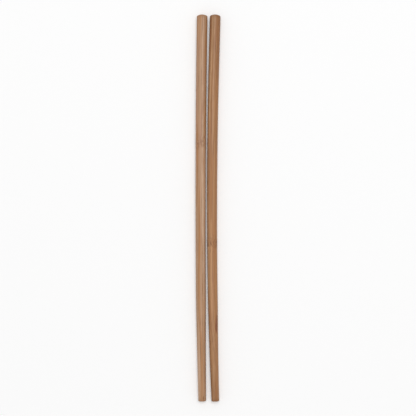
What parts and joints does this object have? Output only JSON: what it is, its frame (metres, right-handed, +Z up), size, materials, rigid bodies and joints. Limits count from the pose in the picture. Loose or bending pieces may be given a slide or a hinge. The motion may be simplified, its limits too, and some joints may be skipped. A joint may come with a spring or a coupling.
{
  "type": "pair of bamboo chopsticks",
  "caption": "Pair of round turned bamboo chopsticks with straight domed heads, slowly tapering shafts and finer eating ends, lying side by side.",
  "frame": {"origin": "on the surface the pair lies on, under the middle of the pair", "axes": "+Y from the tips to the heads, +Z up, +X to the right when looking down with the heads away"},
  "size_m": [0.0156, 0.24, 0.0066],
  "materials": {
    "bamboo_pale": "unlacquered steamed bamboo, pale pinkish tan, smooth and matt",
    "bamboo_warm": "unlacquered steamed bamboo, warm orange tan, smooth and matt"
  },
  "bodies": {
    "root": {"left_chopstick": "bamboo_pale", "right_chopstick": "bamboo_warm"}
  },
  "joints": []
}
